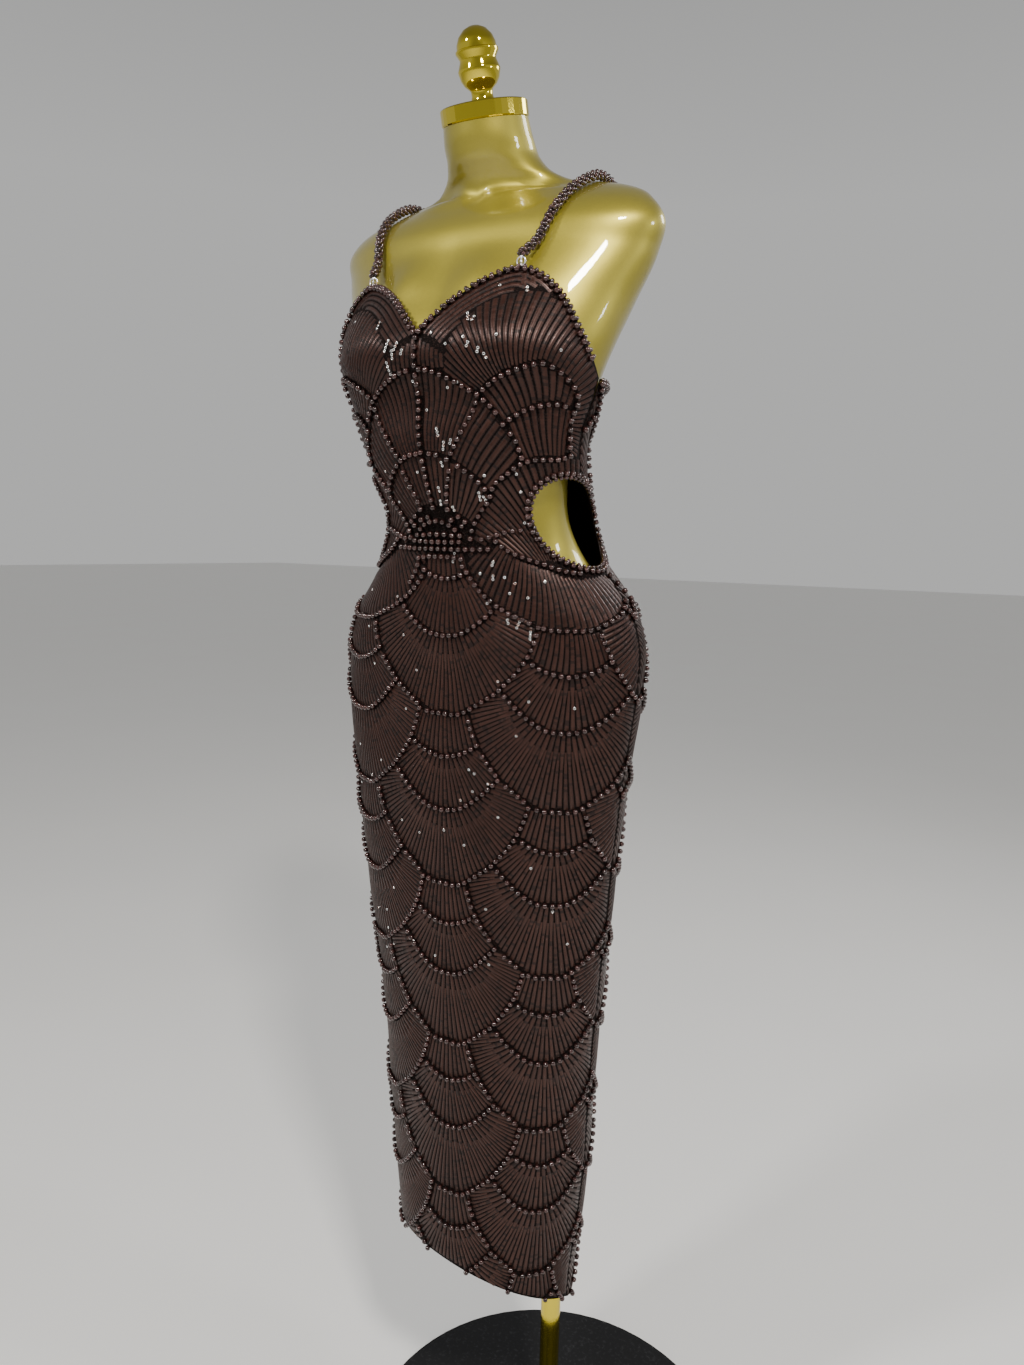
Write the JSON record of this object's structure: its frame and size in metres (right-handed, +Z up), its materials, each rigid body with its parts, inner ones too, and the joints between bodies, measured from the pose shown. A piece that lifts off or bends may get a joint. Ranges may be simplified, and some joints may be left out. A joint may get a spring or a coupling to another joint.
{
  "type": "bodycon maxi dress on a dress form",
  "caption": "Close-fitting sleeveless maxi dress with sweetheart cups, pearl straps, side cut-outs and nested pearl fans, worn on a limbless dress form with a pole and a round base.",
  "frame": {"origin": "centre of the round base's underside, on the floor and on the pole's axis", "axes": "+Z up along the pole, -Y the way the dress faces, +X towards the wearer's left"},
  "size_m": [0.5035, 0.49, 1.708],
  "materials": {
    "beaded_cloth": "sheer mesh with sewn pearls and sequin lines",
    "pearl_rope": "glossy dark pearls",
    "silver_wire": "polished",
    "gold_paint": "satin metallic paint",
    "polished_gold": "polished",
    "black_base": "satin"
  },
  "bodies": {
    "root": {"dress_front": "beaded_cloth", "dress_back": "beaded_cloth", "strap_left": "pearl_rope", "strap_right": "pearl_rope", "strap_ring_left": "silver_wire", "strap_ring_right": "silver_wire", "form_torso": "gold_paint", "neck_cap": "polished_gold", "finial": "polished_gold", "pole_socket": "polished_gold", "pole": "polished_gold", "base_disc": "black_base"}
  },
  "joints": []
}
